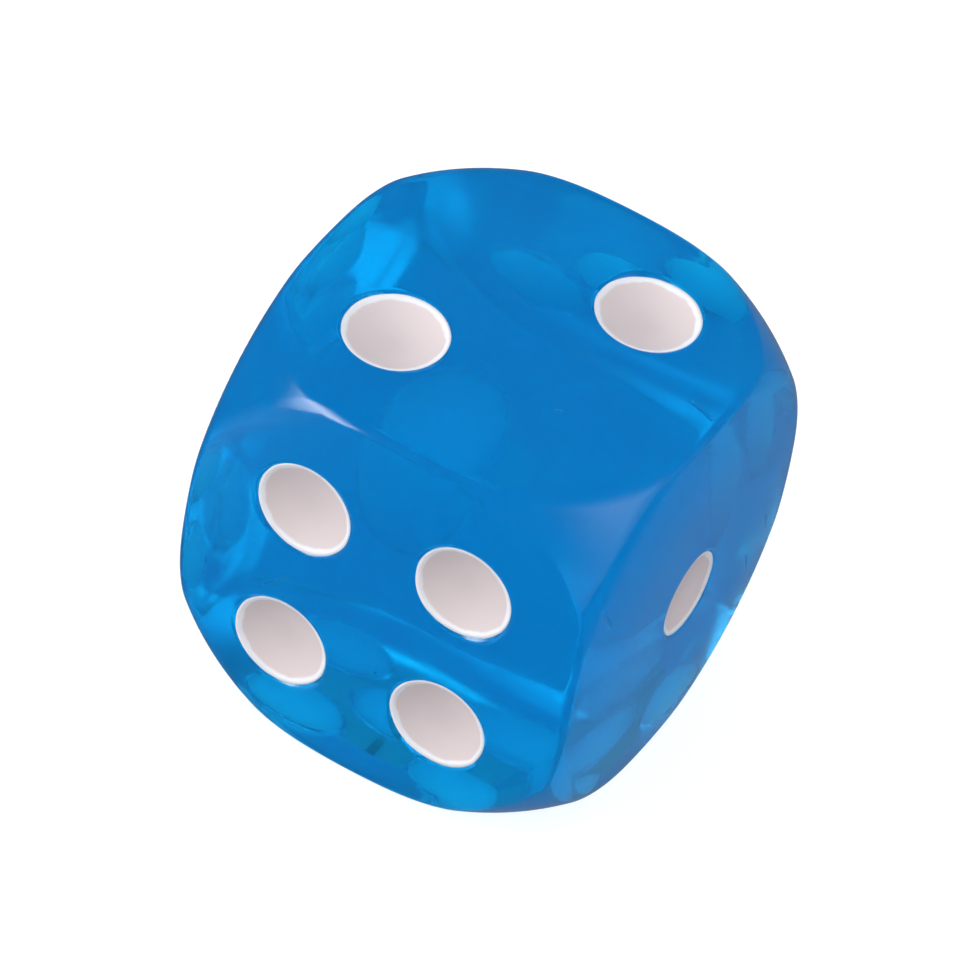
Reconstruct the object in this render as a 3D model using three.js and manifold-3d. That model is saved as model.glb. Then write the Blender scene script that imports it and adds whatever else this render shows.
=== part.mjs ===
// A 16 mm rounded-corner playing die: one clear blue plastic cube with domed faces and
// ball-turned corners, and one white paint fill in each of its 21 dimples.
// Millimetres, +Z up, origin at the centre of the die. The die rests on its five face.

import * as THREE from 'three';
import { mergeVertices } from 'three/addons/utils/BufferGeometryUtils.js';
import Module from 'manifold-3d';

// ---- driving dimensions, in millimetres ----

const SIZE = 16;                  // flat land to flat land
const LAND_RADIUS = 4;            // true flat disc in the middle of every face
const EDGE_DROP = 0.325;          // how far the domed face has fallen near the middle of an edge
const EDGE_DROP_RADIUS = 7.68;    // distance from the face centre at which it has fallen that far
const CORNER_BALL = 11.08;        // radius of the ball that rounds all eight corners
const EDGE_RADIUS = 0.3;          // soft radius where two faces, or a face and the ball, meet

const DIMPLE_BALL = 3.2;          // radius of the ball that shapes every dimple
const BARE_RING = 0.06;           // unpainted dimple wall between the paint and the face
const BOND_GAP = 0.02;            // clearance between the paint's back and the plastic
const PAINT_MIDDLE = 0.12;        // paint thickness at the bottom of a dimple
const PAINT_EDGE = 0.05;          // width of the paint's flat rim

const DIAGONAL_STEP = 3.14;       // two, three, four and five: spot offset along both axes
const SIX_COLUMN = 2.82;          // six: offset of its two columns
const SIX_ROW = 4.45;             // six: offset of its outer rows

// ---- mesh fineness ----

const FACE_CELLS = 16;            // body grid cells along one side of a face
const AROUND = 24;                // facets around a dimple
const RINGS = 3;                  // facet rings from the dimple's bottom to the paint's rim
const BISECTIONS = 40;            // halvings when a surface point is searched along a ray
const CUTTER_LIFT = 0.5;          // how far a dimple's cutter stands above the face
const WELD = 1e-4;                // vertices closer than this are one vertex

const HALF = SIZE / 2;
const DOME_RATE = EDGE_DROP / (EDGE_DROP_RADIUS - LAND_RADIUS) ** 2;

// ---- body surface ----

// How far a face has fallen below its land, at a distance from its centre.
function domeDrop(distance) {
  return DOME_RATE * Math.max(distance - LAND_RADIUS, 0) ** 2;
}

// Signed field of the body: negative inside, zero on the surface. It is the common inside of
// six domed faces and the corner ball, with EDGE_RADIUS where two of them meet.
function bodyField(point) {
  const walls = [point.length() - CORNER_BALL];
  for (const height of [point.x, point.y, point.z]) {
    const sideways = Math.sqrt(Math.max(point.lengthSq() - height * height, 0));
    walls.push(Math.abs(height) - HALF + domeDrop(sideways));
  }
  const reach = walls.map((wall) => Math.max(wall + EDGE_RADIUS, 0));
  const blended = Math.hypot(...reach);
  return blended > 0 ? blended - EDGE_RADIUS : Math.max(...walls);
}

function surfacePoint(direction) {
  let inside = HALF / 2;
  let outside = SIZE;
  for (let i = 0; i < BISECTIONS; i += 1) {
    const middle = (inside + outside) / 2;
    if (bodyField(direction.clone().multiplyScalar(middle)) < 0) inside = middle;
    else outside = middle;
  }
  return direction.clone().multiplyScalar(inside);
}

// A cube's grid, drawn closer together towards the edges, pushed out onto the body surface.
function bodyGeometry() {
  const grid = new THREE.BoxGeometry(2, 2, 2, FACE_CELLS, FACE_CELLS, FACE_CELLS);
  const positions = grid.getAttribute('position');
  const vertex = new THREE.Vector3();
  const crowd = (t) => Math.sin((t * Math.PI) / 2);
  for (let i = 0; i < positions.count; i += 1) {
    vertex.fromBufferAttribute(positions, i);
    vertex.set(crowd(vertex.x), crowd(vertex.y), crowd(vertex.z)).normalize();
    positions.setXYZ(i, ...surfacePoint(vertex));
  }
  return welded(grid);
}

// ---- dimples and paint ----

// Height of the dimple ball's centre above the face, for a dimple that holds this much paint.
function ballHeight(paintRadius) {
  return Math.sqrt(DIMPLE_BALL ** 2 - (paintRadius + BARE_RING) ** 2);
}

// A point of a turned profile: at an angle from straight down, seen from the ball's centre.
function arcPoint(radius, angle, centreHeight) {
  return new THREE.Vector2(radius * Math.sin(angle), centreHeight - radius * Math.cos(angle));
}

// Angles of the facet rings from the dimple's bottom to the paint's rim.
function ringAngles(paintRadius) {
  const rim = Math.asin(paintRadius / DIMPLE_BALL);
  return Array.from({ length: RINGS + 1 }, (_, i) => (rim * i) / RINGS);
}

// The tool that cuts one dimple: a ball cap, opened straight out above the face.
function dimpleCutter(paintRadius) {
  const centre = ballHeight(paintRadius);
  const profile = ringAngles(paintRadius).map((angle) => arcPoint(DIMPLE_BALL, angle, centre));
  const mouth = paintRadius + BARE_RING;
  const mouthSlope = centre / mouth;
  profile.push(new THREE.Vector2(mouth, 0));
  profile.push(new THREE.Vector2(mouth + CUTTER_LIFT * mouthSlope, CUTTER_LIFT));
  profile.push(new THREE.Vector2(0, CUTTER_LIFT));
  return welded(new THREE.LatheGeometry(profile, AROUND));
}

// The paint fill: a thin dish bonded to the dimple's wall, thickest at the bottom. Its hollow
// front is a shallower ball, drawn through the rim and the top of the paint in the middle.
function paintGeometry(paintRadius) {
  const centre = ballHeight(paintRadius);
  const backRadius = DIMPLE_BALL - BOND_GAP;
  const back = ringAngles(paintRadius).map((angle) => arcPoint(backRadius, angle, centre));
  const mouth = back[RINGS].x - PAINT_EDGE;
  const sag = back[RINGS].y - back[0].y - PAINT_MIDDLE;
  const frontRadius = (mouth ** 2 + sag ** 2) / (2 * sag);
  const frontCentre = back[RINGS].y + frontRadius - sag;
  const frontRim = Math.asin(mouth / frontRadius);
  const front = back.map((_, i) => arcPoint(frontRadius, (frontRim * i) / RINGS, frontCentre));
  return welded(new THREE.LatheGeometry([...back, ...front.reverse()], AROUND));
}

// ---- solids ----

// The geometry with its repeated vertices merged and its empty triangles dropped.
function welded(geometry) {
  const bare = geometry.clone();
  bare.deleteAttribute('normal');
  bare.deleteAttribute('uv');
  const merged = mergeVertices(bare, WELD);
  const kept = [];
  const index = merged.getIndex().array;
  for (let i = 0; i < index.length; i += 3) {
    const [a, b, c] = index.slice(i, i + 3);
    if (a !== b && b !== c && c !== a) kept.push(a, b, c);
  }
  merged.setIndex(kept);
  return merged;
}

const wasm = await Module();
wasm.setup();

function solidOf(geometry) {
  return new wasm.Manifold(new wasm.Mesh({
    numProp: 3,
    vertProperties: new Float32Array(geometry.getAttribute('position').array),
    triVerts: new Uint32Array(geometry.getIndex().array),
  }));
}

function geometryOf(solid) {
  const mesh = solid.getMesh();
  const geometry = new THREE.BufferGeometry();
  geometry.setAttribute('position', new THREE.BufferAttribute(mesh.vertProperties, 3));
  geometry.setIndex(new THREE.BufferAttribute(mesh.triVerts, 1));
  return geometry;
}

// ---- the spots ----

const D = DIAGONAL_STEP;
const RISING = [[-D, -D], [D, D]];
const CORNERS = [...RISING, [-D, D], [D, -D]];
const SIX_SPOTS = [-SIX_ROW, 0, SIX_ROW].flatMap((v) => [[-SIX_COLUMN, v], [SIX_COLUMN, v]]);

const X = new THREE.Vector3(1, 0, 0);
const Y = new THREE.Vector3(0, 1, 0);
const Z = new THREE.Vector3(0, 0, 1);
const ALONG_X = { u: Y, v: Z };
const ALONG_Y = { u: X, v: Z };
const ALONG_Z = { u: X, v: Y };

// Spots are [along u, along v] from the face's centre. Opposite faces add up to seven.
const FACES = [
  { name: 'one', side: 1, out: X, ...ALONG_X, paintRadius: 1.61, spots: [[0, 0]] },
  { name: 'six', side: -1, out: X, ...ALONG_X, paintRadius: 1.66, spots: SIX_SPOTS },
  { name: 'three', side: 1, out: Y, ...ALONG_Y, paintRadius: 1.83, spots: [...RISING, [0, 0]] },
  { name: 'four', side: -1, out: Y, ...ALONG_Y, paintRadius: 1.84, spots: CORNERS },
  { name: 'two', side: 1, out: Z, ...ALONG_Z, paintRadius: 1.88, spots: RISING },
  { name: 'five', side: -1, out: Z, ...ALONG_Z, paintRadius: 1.81, spots: [...CORNERS, [0, 0]] },
];

// Where a spot sits on its domed face. The plane of its mouth is a chord of the dome, from the
// mouth's inner end to its outer end, so no paint stands above the plastic. The matrix turns the
// profile's +Y to that plane's normal.
function spotMatrix(face, [alongU, alongV]) {
  const sideways = face.u.clone().multiplyScalar(alongU).addScaledVector(face.v, alongV);
  const distance = sideways.length();
  const mouth = face.paintRadius + BARE_RING;
  const innerDrop = domeDrop(Math.abs(distance - mouth));
  const outerDrop = domeDrop(distance + mouth);
  const out = face.out.clone().multiplyScalar(face.side);
  const place = sideways.clone().addScaledVector(out, HALF - (innerDrop + outerDrop) / 2);
  const tilt = distance > 0 ? (outerDrop - innerDrop) / (2 * mouth * distance) : 0;
  const normal = out.clone().addScaledVector(sideways, tilt).normalize();
  const turn = new THREE.Quaternion().setFromUnitVectors(Y, normal);
  return new THREE.Matrix4().compose(place, turn, new THREE.Vector3(1, 1, 1));
}

// ---- materials ----

const bluePlastic = new THREE.MeshStandardMaterial({
  name: 'clear_blue_plastic',
  color: 0x0374bd,
  roughness: 0.06,
  metalness: 0,
  transparent: true,
  opacity: 0.75,
});

function whitePaint() {
  return new THREE.MeshStandardMaterial({
    name: 'white_paint',
    color: 0xe6dcda,
    roughness: 0.55,
    metalness: 0,
  });
}

// ---- the die ----

const die = new THREE.Group();
die.name = 'die';

let body = solidOf(bodyGeometry());
for (const face of FACES) {
  const cutter = dimpleCutter(face.paintRadius);
  const fill = paintGeometry(face.paintRadius);
  face.spots.forEach((spot, i) => {
    const matrix = spotMatrix(face, spot);
    body = body.subtract(solidOf(cutter.clone().applyMatrix4(matrix)));
    const letter = face.spots.length > 1 ? `_${'abcdef'[i]}` : '';
    const paint = new THREE.Mesh(fill, whitePaint());
    paint.name = `paint_${face.name}${letter}`;
    paint.applyMatrix4(matrix);
    die.add(paint);
  });
}

const cube = new THREE.Mesh(geometryOf(body), bluePlastic);
cube.name = 'body';
die.add(cube);

export default die;
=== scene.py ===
"""A rounded-corner die of clear blue plastic with painted spots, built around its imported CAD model."""

import math

import bpy
import numpy as np
from mathutils import Matrix, Vector
from mathutils.geometry import delaunay_2d_cdt


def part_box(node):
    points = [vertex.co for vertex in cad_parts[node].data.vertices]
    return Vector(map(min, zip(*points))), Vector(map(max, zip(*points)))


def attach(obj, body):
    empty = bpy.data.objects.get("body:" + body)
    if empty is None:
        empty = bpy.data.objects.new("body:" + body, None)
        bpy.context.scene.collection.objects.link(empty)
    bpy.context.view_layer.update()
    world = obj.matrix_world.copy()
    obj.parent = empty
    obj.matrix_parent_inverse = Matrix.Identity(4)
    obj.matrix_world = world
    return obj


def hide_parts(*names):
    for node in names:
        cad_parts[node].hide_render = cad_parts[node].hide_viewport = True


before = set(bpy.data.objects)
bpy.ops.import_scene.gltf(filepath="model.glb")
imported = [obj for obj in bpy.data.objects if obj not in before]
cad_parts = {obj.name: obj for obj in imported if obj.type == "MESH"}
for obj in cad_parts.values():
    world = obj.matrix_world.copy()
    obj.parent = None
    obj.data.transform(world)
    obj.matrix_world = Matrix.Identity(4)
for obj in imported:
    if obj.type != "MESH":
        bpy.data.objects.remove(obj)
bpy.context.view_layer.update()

# ---- the die's size, from the frame, in metres ----

BODY_LOW, BODY_HIGH = (np.array(corner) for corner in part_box("body"))
HALF = float((BODY_HIGH - BODY_LOW).max()) / 2
CENTRE = (BODY_LOW + BODY_HIGH) / 2
FLOOR_Z = float(BODY_LOW[2])
MM = 0.001

# ---- the die's shape, as shares of its half side ----

LAND_RADIUS = 0.5            # flat disc in the middle of every face
EDGE_DROP = 0.325 / 8        # fall of the domed face at EDGE_DROP_RADIUS
EDGE_DROP_RADIUS = 0.96
CORNER_BALL = 11.08 / 8      # ball that rounds the corners
EDGE_RADIUS = 0.3 / 8        # soft radius where two faces, or a face and the ball, meet
DOME_RATE = EDGE_DROP / (EDGE_DROP_RADIUS - LAND_RADIUS) ** 2

# ---- dimples and paint, in metres ----

DIMPLE_BALL = 3.2 * MM
BARE_RING = 0.06 * MM        # bare plastic between the paint and the face
SINK = 0.03 * MM             # how far the paint's back reaches into the plastic
PAINT_MIDDLE = 0.12 * MM
MOUTH_RADIUS = 0.05 * MM     # soft radius round a dimple's mouth
CENTRED = MM / 10            # a spot nearer than this to the face's centre isn't tilted

# ---- how the surface is searched ----

SEARCH_FROM, SEARCH_TO = 0.6, 1.6      # half sides from the centre between which it lies
BISECTIONS = 34
SLOPE_STEP = 0.002 * MM


# ---- body surface: the same field as the CAD, with soft-mouthed dimples ----

def dome_drop(distance):
    return DOME_RATE * np.maximum(distance - LAND_RADIUS, 0) ** 2


def blended(walls, radius):
    """The common inside of the walls, each a signed distance, with a soft radius where they meet."""
    reach = np.maximum(np.array(walls) + radius, 0)
    total = np.sqrt((reach ** 2).sum(0))
    return np.where(total > 0, total - radius, np.max(walls, axis=0))


def body_field(points):
    """Signed field of the plain die, in half sides: negative inside."""
    square = (points ** 2).sum(1)
    walls = [np.sqrt(square) - CORNER_BALL]
    for axis in range(3):
        height = points[:, axis]
        sideways = np.sqrt(np.maximum(square - height ** 2, 0))
        walls.append(np.abs(height) - 1 + dome_drop(sideways))
    return blended(walls, EDGE_RADIUS)


class Dimple:
    """One dimple, read from the box of the CAD node of its paint."""

    def __init__(self, node):
        low, high = (np.array(corner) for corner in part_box(node))
        size, middle = high - low, (low + high) / 2 - CENTRE
        self.node = node
        self.axis = int(np.argmin(size))
        self.side = float(np.sign(middle[self.axis]))
        out = np.zeros(3)
        out[self.axis] = self.side
        sideways = middle * (1 - np.abs(out))
        distance = float(np.linalg.norm(sideways))
        self.paint_radius = float(np.delete(size, self.axis).max()) / 2
        self.mouth = self.paint_radius + BARE_RING
        inner = float(dome_drop(abs(distance - self.mouth) / HALF)) * HALF
        outer = float(dome_drop((distance + self.mouth) / HALF)) * HALF
        tilt = (outer - inner) / (2 * self.mouth * distance) if distance > CENTRED else 0.0
        normal = out + sideways * tilt
        self.normal = normal / np.linalg.norm(normal)
        self.place = sideways + out * (HALF - (inner + outer) / 2)
        self.ball = self.place + self.normal * math.sqrt(DIMPLE_BALL ** 2 - self.mouth ** 2)


DIMPLES = [Dimple(node) for node in sorted(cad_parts) if node.startswith("paint_")]


def dimpled_field(points, dimples):
    """Signed field of the die with these dimples, in metres."""
    field = body_field(points / HALF) * HALF
    for dimple in dimples:
        hollow = DIMPLE_BALL - np.linalg.norm(points - dimple.ball, axis=1)
        field = blended([field, hollow], MOUTH_RADIUS)
    return field


def pushed_out(directions, dimples):
    """The surface points along these directions from the die's centre."""
    inside = np.full(len(directions), SEARCH_FROM * HALF)
    outside = np.full(len(directions), SEARCH_TO * HALF)
    for _ in range(BISECTIONS):
        middle = (inside + outside) / 2
        is_in = dimpled_field(directions * middle[:, None], dimples) < 0
        inside, outside = np.where(is_in, middle, inside), np.where(is_in, outside, middle)
    return directions * inside[:, None]


def surface_normals(points, dimples):
    slopes = [
        dimpled_field(points + offset, dimples) - dimpled_field(points - offset, dimples)
        for offset in np.eye(3) * SLOPE_STEP
    ]
    normals = np.stack(slopes, axis=1)
    return normals / np.linalg.norm(normals, axis=1)[:, None]


# ---- body mesh: a triangulated cube face at a time, denser at edges and around dimples ----

FACE_LINES = 72              # grid lines along one side of a face
AROUND = 112                 # vertices around a dimple
# vertex rings around a dimple, as shares of its mouth's radius
RING_STEPS = (0.45, 0.8, 0.93, 0.965, 0.985, 1.0, 1.012, 1.024, 1.036, 1.052, 1.08, 1.13)
CLEARANCE = 1.02             # grid points nearer than this share of the outer ring are left out
FACE_RIM = 0.9999            # grid points beyond this are the seam with the next face
SAME_POINT = 1e-7            # on the cube of half side 1
WELD = 1e-8                  # in metres


def face_grid():
    lines = np.sin(np.linspace(-1, 1, FACE_LINES) * math.pi / 2)
    lines[0], lines[-1] = -1, 1
    return np.array([(u, v) for u in lines for v in lines])


def face_plan(axis, side):
    """Triangulated vertices of one cube face, as (u, v) on the cube of half side 1, and its triangles."""
    dimples = [d for d in DIMPLES if d.axis == axis and d.side == side]
    plan = face_grid()
    rim = np.abs(plan).max(1) > FACE_RIM
    u_axis, v_axis = [i for i in range(3) if i != axis]
    rings = []
    angles = np.arange(AROUND) * 2 * math.pi / AROUND
    for dimple in dimples:
        helper = np.eye(3)[u_axis]
        u = helper - dimple.normal * (helper @ dimple.normal)
        u /= np.linalg.norm(u)
        v = np.cross(dimple.normal, u)
        spots = [dimple.place[None, :]]
        for share in RING_STEPS:
            radius = dimple.mouth * share
            spots.append(dimple.place + radius * (np.cos(angles)[:, None] * u + np.sin(angles)[:, None] * v))
        spots = np.concatenate(spots)
        on_cube = spots / np.abs(spots[:, [axis]])
        flat = on_cube[:, [u_axis, v_axis]]
        hub = flat[0]
        reach = np.linalg.norm(flat - hub, axis=1).max() * CLEARANCE
        keep = rim | (np.linalg.norm(plan - hub, axis=1) > reach)
        plan, rim = plan[keep], rim[keep]
        rings.append(flat)
    plan = np.concatenate([plan] + rings)
    result = delaunay_2d_cdt([Vector(p) for p in plan], [], [], 0, SAME_POINT)
    flat = np.array([tuple(p) for p in result[0]])
    return flat, np.array(result[2]), dimples


def body_mesh():
    points, triangles, normals = [], [], []
    start = 0
    for axis in range(3):
        for side in (-1.0, 1.0):
            flat, faces, dimples = face_plan(axis, side)
            u_axis, v_axis = [i for i in range(3) if i != axis]
            cube = np.zeros((len(flat), 3))
            cube[:, axis] = side
            cube[:, u_axis] = flat[:, 0]
            cube[:, v_axis] = flat[:, 1]
            directions = cube / np.linalg.norm(cube, axis=1)[:, None]
            surface = pushed_out(directions, dimples)
            slope = surface_normals(surface, dimples)
            corners = surface[faces]
            turn = np.cross(corners[:, 1] - corners[:, 0], corners[:, 2] - corners[:, 0])
            wrong = (turn * corners.mean(1)).sum(1) < 0
            faces[wrong] = faces[wrong][:, ::-1]
            points.append(surface)
            normals.append(slope)
            triangles.append(faces + start)
            start += len(surface)
    return np.concatenate(points), np.concatenate(triangles), np.concatenate(normals)


def merged(points, triangles, normals):
    """Welds the seams between cube faces."""
    keys = np.round(points / WELD).astype(np.int64)
    _, first, back = np.unique(keys, axis=0, return_index=True, return_inverse=True)
    back = back.reshape(-1)
    triangles = back[triangles]
    solid = (
        (triangles[:, 0] != triangles[:, 1])
        & (triangles[:, 1] != triangles[:, 2])
        & (triangles[:, 2] != triangles[:, 0])
    )
    return points[first], triangles[solid], normals[first]


def new_object(name, points, faces, normals=None):
    mesh = bpy.data.meshes.new(name)
    mesh.from_pydata((points + CENTRE).tolist(), [], [list(map(int, f)) for f in faces])
    mesh.polygons.foreach_set("use_smooth", [True] * len(mesh.polygons))
    if normals is not None:
        mesh.normals_split_custom_set_from_vertices(normals.tolist())
    mesh.update()
    obj = bpy.data.objects.new(name, mesh)
    bpy.context.scene.collection.objects.link(obj)
    return obj


def build_body():
    points, triangles, normals = merged(*body_mesh())
    return new_object("clear_blue_cube", points, triangles, normals)


# ---- paint ----

RIM_SHARE = "rim_share"      # vertex attribute: 0 in the middle of a spot, 1 at its rim
PAINT_AROUND = 96            # vertices around a spot
PAINT_RINGS = 14             # rings of its front
RING_CROWDING = 0.85         # below 1 the front's rings are closer together at the rim
BACK_RINGS = 4
RIM_OVERLAP = 1.004          # the back is this much wider, so that the rim is closed into the plastic
WOBBLE = 0.008 * MM          # how unevenly the paint's edge runs
WOBBLE_WAVES = (2, 3, 5, 8, 13)


def build_paint(dimple, seed):
    """A closed dish: its back follows the dimple's ball a little inside the plastic, its front is flatter."""
    random = np.random.default_rng(seed)
    angles = np.arange(PAINT_AROUND) * 2 * math.pi / PAINT_AROUND
    wobble = np.zeros(PAINT_AROUND)
    for waves in WOBBLE_WAVES:
        height = random.normal(0, WOBBLE / math.sqrt(waves))
        wobble += height * np.cos(waves * angles + random.uniform(0, 6.28))
    helper = np.eye(3)[(dimple.axis + 1) % 3]
    u = helper - dimple.normal * (helper @ dimple.normal)
    u /= np.linalg.norm(u)
    v = np.cross(dimple.normal, u)
    radius = dimple.paint_radius + wobble
    lift = math.sqrt(DIMPLE_BALL ** 2 - dimple.mouth ** 2)
    wall = lift - np.sqrt(DIMPLE_BALL ** 2 - radius ** 2)
    bottom = lift - DIMPLE_BALL + PAINT_MIDDLE
    out = np.cos(angles)[:, None] * u + np.sin(angles)[:, None] * v

    def ring(radii, heights):
        return dimple.place + radii[:, None] * out + heights[:, None] * dimple.normal

    rows = []
    front_shares = np.linspace(0, 1, PAINT_RINGS + 1)[1:] ** RING_CROWDING
    for reach in front_shares:
        height = bottom + (wall - bottom) * reach ** 2
        rows.append(ring(radius * reach, height))
    front_hub = dimple.place + bottom * dimple.normal
    for share in np.linspace(1, 0, BACK_RINGS + 1)[:-1]:
        back_radius = radius * share * RIM_OVERLAP
        height = lift - np.sqrt((DIMPLE_BALL + SINK) ** 2 - back_radius ** 2)
        rows.append(ring(back_radius, height))
    back_hub = dimple.place + (lift - DIMPLE_BALL - SINK) * dimple.normal
    points = np.concatenate([front_hub[None, :]] + rows + [back_hub[None, :]])
    faces = []
    n = PAINT_AROUND
    for i in range(n):
        j = (i + 1) % n
        faces.append((0, 1 + i, 1 + j))
        for row in range(len(rows) - 1):
            a, b = 1 + row * n, 1 + (row + 1) * n
            faces.append((a + i, b + i, b + j, a + j))
        last = 1 + (len(rows) - 1) * n
        faces.append((last + i, len(points) - 1, last + j))
    spot = new_object(dimple.node.replace("paint", "spot_paint"), points, faces)
    shares = [0.0] + list(np.repeat(front_shares, n)) + [1.0] * (BACK_RINGS * n) + [1.0]
    rim_shares = spot.data.attributes.new(RIM_SHARE, "FLOAT", "POINT")
    rim_shares.data.foreach_set("value", shares)
    return spot


# ---- materials ----

def nodes_of(material):
    material.use_nodes = True
    tree = material.node_tree
    tree.nodes.clear()
    return tree


def math_node(tree, operation, first, second=None, third=None, clamp=False):
    node = tree.nodes.new("ShaderNodeMath")
    node.operation = operation
    node.use_clamp = clamp
    for socket, value in zip(node.inputs, (first, second, third)):
        if value is None:
            continue
        if isinstance(value, (int, float)):
            socket.default_value = value
        else:
            tree.links.new(value, socket)
    return node.outputs[0]


def dot_node(tree, vector, fixed):
    node = tree.nodes.new("ShaderNodeVectorMath")
    node.operation = "DOT_PRODUCT"
    tree.links.new(vector, node.inputs[0])
    node.inputs[1].default_value = fixed
    return node.outputs["Value"]


def smooth_step(tree, value, start, end):
    node = tree.nodes.new("ShaderNodeMapRange")
    node.interpolation_type = "SMOOTHSTEP"
    tree.links.new(value, node.inputs["Value"])
    node.inputs["From Min"].default_value = start
    node.inputs["From Max"].default_value = end
    node.inputs["To Min"].default_value = 0
    node.inputs["To Max"].default_value = 1
    return node.outputs["Result"]


ABSORB_PER_MM = (0.50, 0.036, 0.018)    # red, green and blue, as exponents
SCATTER_PER_MM = 0.055               # the plastic's slight haze
SCATTER_COLOUR = (0.15, 0.78, 1.0, 1)
SCATTER_FORWARDS = 0.3
PLASTIC_TINT = (0.03, 0.55, 0.95, 1)
PLASTIC_IOR = 1.49
PAINT_SEE_THROUGH = 0.2              # share of light that soaks through the thin paint
SOAKED_COLOUR = (0.95, 0.95, 0.95, 1)
PAINT_COLOUR = (0.80, 0.67, 0.65, 1)
MIDDLE_SHADE_SHARE = 0.93                # painted shade: the paint's colour is down to this share in the middle of a spot
# painted highlight: the rim of each spot is whiter, as if its edge catches the light
RIM_HIGHLIGHT_COLOUR = (0.97, 0.96, 0.98, 1)

# sizes of the surface's marks, in lumps per metre
GLOSS_SCALE = 260.0
SCRATCH_SCALE = 900.0
SCRATCH_STRETCH = (1.0, 18.0, 18.0)
SCRATCH_TURN = (0.6, 0.35, 0.8)
PIT_SCALE = 520.0
WAVE_SCALE = 330.0
PATCH_SCALE = 1500.0
GRAIN_SCALE = 5200.0

# depths of the surface's marks
WAVE_DEPTH = 0.02 * MM
SCRATCH_DEPTH = 0.004 * MM
PIT_DEPTH = 0.01 * MM
NICK_DEPTH = 0.09 * MM
GRAIN_DEPTH = 0.006 * MM
# start and end of each nick in half sides from the die's centre, and its radius in millimetres
NICKS = (
    ((0.960, -0.810, 0.490), (0.975, -0.755, 0.390), 0.13),
    ((0.998, -0.600, 0.045), (0.998, -0.585, 0.030), 0.10),
    ((-0.506, -1.000, -0.117), (-0.410, -1.000, -0.011), 0.09),
    ((0.815, 0.050, 0.982), (0.915, 0.030, 0.966), 0.11),
    ((0.390, -0.380, 1.000), (0.405, -0.374, 1.000), 0.10),
    ((0.995, 0.560, -0.215), (0.985, 0.600, -0.330), 0.13),
    ((0.985, 0.700, -0.080), (0.975, 0.740, -0.180), 0.12),
    ((-0.700, -0.880, -0.620), (-0.640, -0.900, -0.560), 0.10),
    ((-0.990, 0.310, 0.520), (-0.992, 0.380, 0.440), 0.11),
    ((0.120, 0.990, -0.560), (0.250, 0.990, -0.520), 0.09),
    ((-0.350, 0.960, 0.800), (-0.290, 0.930, 0.845), 0.10),
)


def ramp_node(tree, value, stops):
    """A colour ramp on value, from (position, colour) stops."""
    node = tree.nodes.new("ShaderNodeValToRGB")
    while len(node.color_ramp.elements) < len(stops):
        node.color_ramp.elements.new(1.0)
    for element, (position, colour) in zip(node.color_ramp.elements, stops):
        element.position = position
        element.color = colour
    tree.links.new(value, node.inputs[0])
    return node.outputs[0]


def noise_node(tree, place, scale, detail=2.0, roughness=0.5, stretch=None):
    """Noise at a scale in lumps per metre; stretch thins it out along each axis."""
    if stretch:
        mapping = tree.nodes.new("ShaderNodeMapping")
        mapping.inputs["Scale"].default_value = stretch
        mapping.inputs["Rotation"].default_value = SCRATCH_TURN
        tree.links.new(place, mapping.inputs["Vector"])
        place = mapping.outputs[0]
    node = tree.nodes.new("ShaderNodeTexNoise")
    tree.links.new(place, node.inputs["Vector"])
    node.inputs["Scale"].default_value = scale
    node.inputs["Detail"].default_value = detail
    node.inputs["Roughness"].default_value = roughness
    return node.outputs["Fac"]


def bump_node(tree, height, strength, distance, onto=None):
    node = tree.nodes.new("ShaderNodeBump")
    node.inputs["Strength"].default_value = strength
    node.inputs["Distance"].default_value = distance
    tree.links.new(height, node.inputs["Height"])
    if onto:
        tree.links.new(onto, node.inputs["Normal"])
    return node.outputs[0]


def nick_depth(tree, place, start, end, radius):
    """1 on the plain surface, 0 in the bottom of a nick that runs from start to end."""
    start = Vector(CENTRE) + Vector(start) * HALF
    along = Vector(CENTRE) + Vector(end) * HALF - start
    way = along / along.length_squared
    share = math_node(tree, "SUBTRACT", dot_node(tree, place, tuple(way)), start.dot(way), clamp=True)
    nearest = tree.nodes.new("ShaderNodeVectorMath")
    nearest.operation = "MULTIPLY_ADD"
    tree.links.new(share, nearest.inputs[0])
    nearest.inputs[1].default_value = along
    nearest.inputs[2].default_value = start
    gap = tree.nodes.new("ShaderNodeVectorMath")
    gap.operation = "DISTANCE"
    tree.links.new(place, gap.inputs[0])
    tree.links.new(nearest.outputs[0], gap.inputs[1])
    return smooth_step(tree, gap.outputs["Value"], 0.1 * radius, radius)


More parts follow.
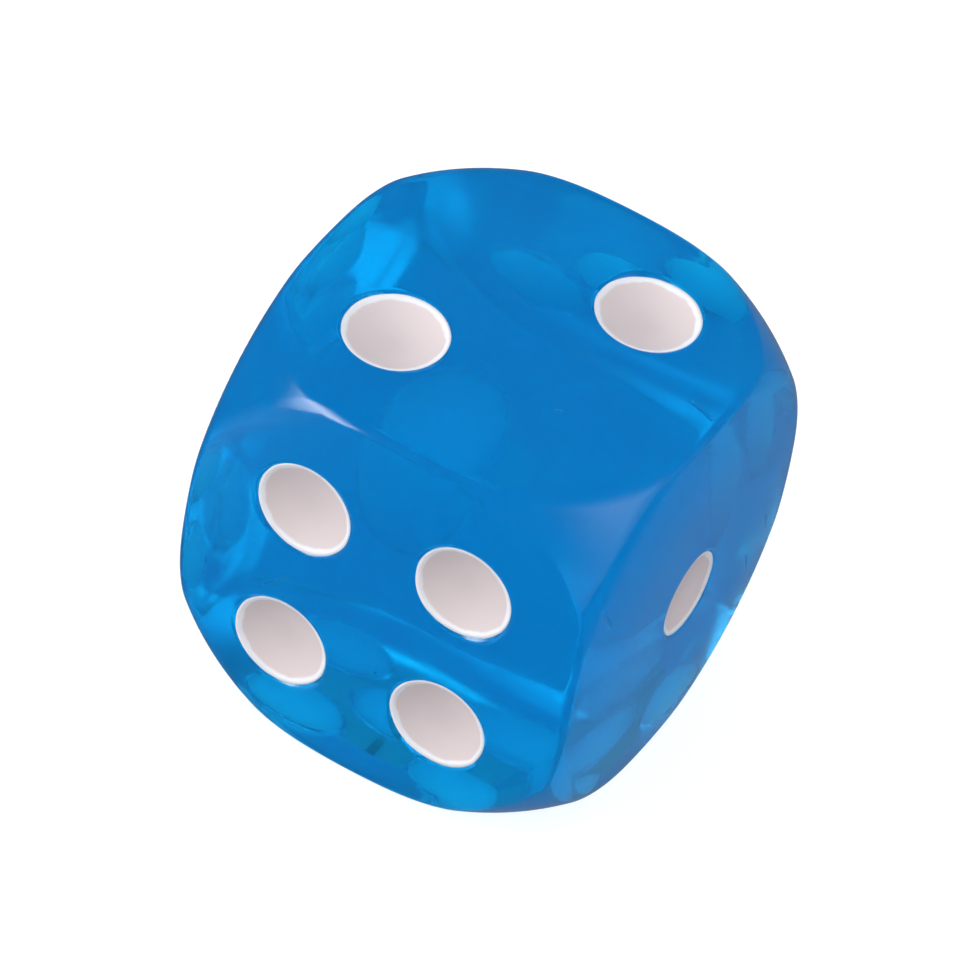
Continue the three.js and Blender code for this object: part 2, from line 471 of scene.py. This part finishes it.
def blue_plastic():
    """Clear tinted plastic with a tumbled polish: slight waves, hairline scratches, pits and a few nicks."""
    material = bpy.data.materials.new("clear_blue_plastic")
    tree = nodes_of(material)
    output = tree.nodes.new("ShaderNodeOutputMaterial")
    glass = tree.nodes.new("ShaderNodeBsdfPrincipled")
    glass.inputs["Base Color"].default_value = PLASTIC_TINT
    glass.inputs["Transmission Weight"].default_value = 1
    glass.inputs["IOR"].default_value = PLASTIC_IOR
    place = tree.nodes.new("ShaderNodeTexCoord").outputs["Object"]
    gloss = noise_node(tree, place, GLOSS_SCALE, 3.0)
    scratches = noise_node(tree, place, SCRATCH_SCALE, 4.0, 0.7, stretch=SCRATCH_STRETCH)
    fine_lines = ramp_node(tree, scratches, ((0.62, (0, 0, 0, 1)), (0.70, (1, 1, 1, 1))))
    roughness = math_node(tree, "MULTIPLY_ADD", gloss, 0.10, 0.05)
    tree.links.new(math_node(tree, "MULTIPLY_ADD", fine_lines, 0.08, roughness), glass.inputs["Roughness"])
    cells = tree.nodes.new("ShaderNodeTexVoronoi")
    cells.inputs["Scale"].default_value = PIT_SCALE
    tree.links.new(place, cells.inputs["Vector"])
    pits = smooth_step(tree, cells.outputs["Distance"], 0.0, 0.055)
    waves = bump_node(tree, noise_node(tree, place, WAVE_SCALE, 1.0), 0.35, WAVE_DEPTH)
    scored = bump_node(tree, fine_lines, 0.25, SCRATCH_DEPTH, waves)
    pitted = bump_node(tree, pits, 0.6, PIT_DEPTH, scored)
    surface = 1.0
    for start, end, radius in NICKS:
        surface = math_node(tree, "MINIMUM", surface, nick_depth(tree, place, start, end, radius * MM))
    nicked = bump_node(tree, surface, 1.0, NICK_DEPTH, pitted)
    tree.links.new(nicked, glass.inputs["Normal"])
    tree.links.new(glass.outputs[0], output.inputs["Surface"])
    deepest = max(ABSORB_PER_MM)
    volume = tree.nodes.new("ShaderNodeVolumeAbsorption")
    volume.inputs["Color"].default_value = [1 - a / deepest for a in ABSORB_PER_MM] + [1]
    volume.inputs["Density"].default_value = deepest / MM
    scatter = tree.nodes.new("ShaderNodeVolumeScatter")
    scatter.inputs["Color"].default_value = SCATTER_COLOUR
    scatter.inputs["Density"].default_value = SCATTER_PER_MM / MM
    scatter.inputs["Anisotropy"].default_value = SCATTER_FORWARDS
    both = tree.nodes.new("ShaderNodeAddShader")
    tree.links.new(volume.outputs[0], both.inputs[0])
    tree.links.new(scatter.outputs[0], both.inputs[1])
    tree.links.new(both.outputs[0], output.inputs["Volume"])
    return material


def white_paint():
    """Thin matt paint: mottling in patches, painted shade darkening the middle of a spot, a painted highlight
    at its rim, and a little light soaks through.
    """
    material = bpy.data.materials.new("white_paint")
    tree = nodes_of(material)
    output = tree.nodes.new("ShaderNodeOutputMaterial")
    paint = tree.nodes.new("ShaderNodeBsdfPrincipled")
    place = tree.nodes.new("ShaderNodeTexCoord").outputs["Object"]
    rim = tree.nodes.new("ShaderNodeAttribute")
    rim.attribute_name = RIM_SHARE
    patches = noise_node(tree, place, PATCH_SCALE, 3.0)
    tone = math_node(tree, "MULTIPLY_ADD", patches, 0.12, rim.outputs["Fac"])
    # painted shade: the middle of each spot is darker, and noise patches give it mottling
    shaded_middle = [c * MIDDLE_SHADE_SHARE for c in PAINT_COLOUR[:3]] + [1]
    # the ramp ends in the painted highlight at the rim
    stops = ((0.0, shaded_middle), (0.55, PAINT_COLOUR), (0.93, PAINT_COLOUR), (0.97, RIM_HIGHLIGHT_COLOUR))
    colour = ramp_node(tree, tone, stops)
    tree.links.new(colour, paint.inputs["Base Color"])
    tree.links.new(math_node(tree, "MULTIPLY_ADD", patches, 0.2, 0.35), paint.inputs["Roughness"])
    grain = noise_node(tree, place, GRAIN_SCALE, 3.0, 0.6)
    tree.links.new(bump_node(tree, grain, 0.5, GRAIN_DEPTH), paint.inputs["Normal"])
    soaked = tree.nodes.new("ShaderNodeBsdfTranslucent")
    soaked.inputs["Color"].default_value = SOAKED_COLOUR
    mix = tree.nodes.new("ShaderNodeMixShader")
    mix.inputs[0].default_value = PAINT_SEE_THROUGH
    tree.links.new(paint.outputs[0], mix.inputs[1])
    tree.links.new(soaked.outputs[0], mix.inputs[2])
    tree.links.new(mix.outputs[0], output.inputs["Surface"])
    return material


# ---- build ----

body = build_body()
plastic = blue_plastic()
body.data.materials.append(plastic)
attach(body, "root")
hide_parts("body")

paint_material = white_paint()
for number, dimple in enumerate(DIMPLES):
    spot = build_paint(dimple, number)
    spot.data.materials.append(paint_material)
    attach(spot, "root")
    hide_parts(dimple.node)

# ---- stage ----

FLOOR_HALF = 3.0             # in metres


def direction(azimuth, elevation):
    a, e = math.radians(azimuth), math.radians(elevation)
    return Vector((math.sin(a) * math.cos(e), -math.cos(a) * math.cos(e), math.sin(e)))


def softbox(tree, vector, azimuth, elevation, half_wide, half_high, fade_wide, fade_high, roll):
    """A soft-edged rectangle of light around a direction: 1 inside and 0 outside, with angles in degrees."""
    aim = direction(azimuth, elevation)
    side = aim.cross(Vector((0, 0, 1))).normalized()
    rise = side.cross(aim)
    turn = Matrix.Rotation(math.radians(roll), 3, -aim)
    ahead = dot_node(tree, vector, aim)
    share = smooth_step(tree, ahead, 0.0, 0.1)
    for axis, half, fade in ((side, half_wide, fade_wide), (rise, half_high, fade_high)):
        across = math_node(tree, "ABSOLUTE", dot_node(tree, vector, turn @ axis))
        angle = math_node(tree, "ARCTAN2", across, math_node(tree, "MAXIMUM", ahead, 0.01))
        outside = smooth_step(tree, angle, math.radians(half - fade), math.radians(half + fade))
        share = math_node(tree, "MULTIPLY", share, math_node(tree, "SUBTRACT", 1.0, outside))
    return share


# What each kind of ray sees. The lamps and lit patches of floor are given as azimuth, elevation, half
# width, half height, fade in width, fade in height and roll, in degrees, and then their strength.

# Cycles samples the world's light with every kind of ray switched off, so this isn't a fallback
# that goes unseen: together with what matt rays find, it sets how bright the paint is.
AROUND_LIGHT = 2.80          # a light sample: the studio between the lamps

SEEN_BEHIND = 1.2            # the camera: the white backdrop
FLOOR_GLOW = 0.82            # the camera: what a light table adds to the pale floor
FLOOR_SHADE = 0.25           # matt share of the floor

PAINT_LIGHT_LOW = 0.02       # matt paint: the sky at the horizon
PAINT_LIGHT_RISE = 1.02      # matt paint: how much brighter it is straight above
# matt paint: weaker lights on the right and behind
PAINT_SIDE_LIGHTS = (
    (88.0, 8.0, 34.0, 26.0, 22.0, 16.0, 0.0, 1.2),
    (195.0, 2.0, 38.0, 26.0, 22.0, 16.0, 0.0, 1.3),
)

MIRRORED_DARK = 0.04         # a shiny face: the studio between the lamps
MIRRORED_FLOOR = 0.06        # a shiny face: the floor between the lit patches
LIT_FLOORS = (
    (-50.2, -18.0, 15.6, 13.0, 17.0, 24.0, 6.5, 0.48),
    (157.0, -44.0, 42.0, 30.0, 22.0, 20.0, 0.0, 0.11),
)

# lamps that shiny faces and matt paint see
SOFTBOXES = (
    (-47.1, 19.3, 20.7, 12.5, 8.0, 9.5, 33.9, 12.5),
    (88.4, 34.7, 18.3, 13.8, 13.6, 16.5, -7.7, 2.2),
    (90.0, 2.0, 32.0, 16.0, 18.0, 15.0, 0.0, 0.62),
)
KEY_DOOR = (-29.0, -25.5)    # azimuths between which a barn door shuts off the first of them

# rays through the plastic
THROUGH_DARK = 0.4           # all round
OVERHEAD_LIGHT = 9.0         # added overhead, to fill the haze
OVERHEAD_EDGE = (0.80, 0.97)    # sines of the elevations between which it comes on
THROUGH_LIGHTS = (
    (82.0, 20.0, 30.0, 34.0, 22.0, 18.0, 0.0, 7.5),
    (-60.0, 32.0, 20.0, 26.0, 14.0, 16.0, 0.0, 9.0),
)
FLOOR_SHADE_THROUGH = 0.03   # matt share of the floor
FLOOR_THROUGH = 1.0          # glow of the open floor
UNDER_GLOW = 0.62            # share of that glow left in the shade of the die
SHADE_COLOUR = (0.08, 0.66, 1.0, 1)    # there, light has come through blue plastic
SHADE_AZIMUTH = 200          # the shade lies behind the die
SHADE_SHIFT = 0.9            # in half sides, as are the next two
SHADE_INNER = 1.4
SHADE_OUTER = 2.6


def thrown_back(tree, path, kind):
    """1 for a ray of this kind that a surface throws back, 0 for any other and for a light sample."""
    outside = math_node(tree, "SUBTRACT", 1.0, path.outputs["Is Transmission Ray"])
    return math_node(tree, "MULTIPLY", path.outputs[kind], outside)


def mixed(tree, share, first, second):
    """first where share is 0, second where it is 1."""
    return math_node(tree, "MULTIPLY_ADD", share, math_node(tree, "SUBTRACT", second, first), first)


def build_world():
    world = bpy.data.worlds.new("studio")
    bpy.context.scene.world = world
    world.use_nodes = True
    tree = world.node_tree
    tree.nodes.clear()
    place = tree.nodes.new("ShaderNodeTexCoord").outputs["Generated"]
    path = tree.nodes.new("ShaderNodeLightPath")
    mirrored = thrown_back(tree, path, "Is Glossy Ray")
    matt = thrown_back(tree, path, "Is Diffuse Ray")
    height = math_node(tree, "MAXIMUM", dot_node(tree, place, (0, 0, 1)), 0.0)
    on_paint = math_node(tree, "MULTIPLY_ADD", height, PAINT_LIGHT_RISE, PAINT_LIGHT_LOW)
    for *shape, strength in PAINT_SIDE_LIGHTS:
        on_paint = math_node(tree, "MULTIPLY_ADD", softbox(tree, place, *shape), strength, on_paint)
    base = mixed(tree, matt, AROUND_LIGHT, on_paint)
    base = mixed(tree, mirrored, base, MIRRORED_DARK)
    azimuth = math_node(tree, "ARCTAN2", dot_node(tree, place, (1, 0, 0)), dot_node(tree, place, (0, -1, 0)))
    door = smooth_step(tree, azimuth, *(math.radians(edge) for edge in KEY_DOOR))
    shares = [softbox(tree, place, *shape) for *shape, strength in SOFTBOXES]
    shares[0] = math_node(tree, "MULTIPLY", shares[0], math_node(tree, "SUBTRACT", 1.0, door))
    lamps = 0.0
    for share, (*shape, strength) in zip(shares, SOFTBOXES):
        lamps = math_node(tree, "MULTIPLY_ADD", share, strength, lamps)
    total = math_node(tree, "ADD", lamps, base)
    above = smooth_step(tree, dot_node(tree, place, (0, 0, 1)), *OVERHEAD_EDGE)
    through = math_node(tree, "MULTIPLY_ADD", above, OVERHEAD_LIGHT, THROUGH_DARK)
    for *shape, strength in THROUGH_LIGHTS:
        through = math_node(tree, "MULTIPLY_ADD", softbox(tree, place, *shape), strength, through)
    total = mixed(tree, path.outputs["Is Transmission Ray"], total, through)
    total = mixed(tree, path.outputs["Is Camera Ray"], total, SEEN_BEHIND)
    background = tree.nodes.new("ShaderNodeBackground")
    tree.links.new(total, background.inputs["Strength"])
    output = tree.nodes.new("ShaderNodeOutputWorld")
    tree.links.new(background.outputs[0], output.inputs["Surface"])


def build_floor():
    mesh = bpy.data.meshes.new("floor")
    s = FLOOR_HALF
    corners = [(-s, -s, FLOOR_Z), (s, -s, FLOOR_Z), (s, s, FLOOR_Z), (-s, s, FLOOR_Z)]
    mesh.from_pydata(corners, [], [(0, 1, 2, 3)])
    floor = bpy.data.objects.new("floor", mesh)
    bpy.context.scene.collection.objects.link(floor)
    material = bpy.data.materials.new("pale_floor")
    tree = nodes_of(material)
    output = tree.nodes.new("ShaderNodeOutputMaterial")
    path = tree.nodes.new("ShaderNodeLightPath")
    through_plastic = path.outputs["Is Transmission Ray"]
    diffuse = tree.nodes.new("ShaderNodeBsdfDiffuse")
    shown = mixed(tree, through_plastic, FLOOR_SHADE, FLOOR_SHADE_THROUGH)
    tree.links.new(shown, diffuse.inputs["Color"])
    glow = tree.nodes.new("ShaderNodeEmission")
    place = tree.nodes.new("ShaderNodeTexCoord").outputs["Object"]
    away = tree.nodes.new("ShaderNodeVectorMath")
    away.operation = "DISTANCE"
    tree.links.new(place, away.inputs[0])
    shade = direction(SHADE_AZIMUTH, 0) * SHADE_SHIFT * HALF
    away.inputs[1].default_value = (CENTRE[0] + shade.x, CENTRE[1] + shade.y, FLOOR_Z)
    open_floor = smooth_step(tree, away.outputs["Value"], SHADE_INNER * HALF, SHADE_OUTER * HALF)
    shaded = math_node(tree, "MULTIPLY", through_plastic, math_node(tree, "SUBTRACT", 1.0, open_floor))
    glow_colour = ramp_node(tree, shaded, ((0, (1, 1, 1, 1)), (1, SHADE_COLOUR)))
    tree.links.new(glow_colour, glow.inputs["Color"])
    open_floor = math_node(tree, "MULTIPLY_ADD", open_floor, 1 - UNDER_GLOW, UNDER_GLOW)
    through = math_node(tree, "MULTIPLY", through_plastic, open_floor)
    through = math_node(tree, "MULTIPLY", through, FLOOR_THROUGH)
    direct = math_node(tree, "MULTIPLY", path.outputs["Is Camera Ray"], FLOOR_GLOW)
    tree.links.new(math_node(tree, "MAXIMUM", through, direct), glow.inputs["Strength"])
    lit = tree.nodes.new("ShaderNodeAddShader")
    tree.links.new(diffuse.outputs[0], lit.inputs[0])
    tree.links.new(glow.outputs[0], lit.inputs[1])
    mirrored = tree.nodes.new("ShaderNodeEmission")
    backwards = tree.nodes.new("ShaderNodeNewGeometry").outputs["Incoming"]
    onward = tree.nodes.new("ShaderNodeVectorMath")
    onward.operation = "SCALE"
    onward.inputs["Scale"].default_value = -1
    tree.links.new(backwards, onward.inputs[0])
    shine = MIRRORED_FLOOR
    for *shape, strength in LIT_FLOORS:
        shine = math_node(tree, "MULTIPLY_ADD", softbox(tree, onward.outputs[0], *shape), strength, shine)
    tree.links.new(shine, mirrored.inputs["Strength"])
    mix = tree.nodes.new("ShaderNodeMixShader")
    tree.links.new(thrown_back(tree, path, "Is Glossy Ray"), mix.inputs[0])
    tree.links.new(lit.outputs[0], mix.inputs[1])
    tree.links.new(mirrored.outputs[0], mix.inputs[2])
    tree.links.new(mix.outputs[0], output.inputs["Surface"])
    mesh.materials.append(material)
    return floor


build_floor()
build_world()

# ---- camera ----

AZIMUTH, ELEVATION, ROLL = 22.96, 43.56, 11.28
DISTANCE = 42.73 * HALF
LENS = 367.0
SENSOR = 36.0
CLIP = (0.01, 20.0)

a, e = math.radians(AZIMUTH), math.radians(ELEVATION)
back = Vector((math.sin(a) * math.cos(e), -math.cos(a) * math.cos(e), math.sin(e)))
camera_data = bpy.data.cameras.new("camera")
camera_data.lens = LENS
camera_data.sensor_width = SENSOR
camera_data.clip_start, camera_data.clip_end = CLIP
camera = bpy.data.objects.new("camera", camera_data)
bpy.context.scene.collection.objects.link(camera)
level = (-back).to_track_quat("-Z", "Y").to_matrix().to_4x4()
camera.matrix_world = (
    Matrix.Translation(Vector(CENTRE) + back * DISTANCE) @ level @ Matrix.Rotation(math.radians(ROLL), 4, "Z")
)
bpy.context.scene.camera = camera
bpy.context.scene.view_settings.view_transform = "Standard"
bpy.context.scene.cycles.max_bounces = 40
bpy.context.scene.cycles.volume_bounces = 24
bpy.context.scene.cycles.transmission_bounces = 24
bpy.context.scene.cycles.glossy_bounces = 16
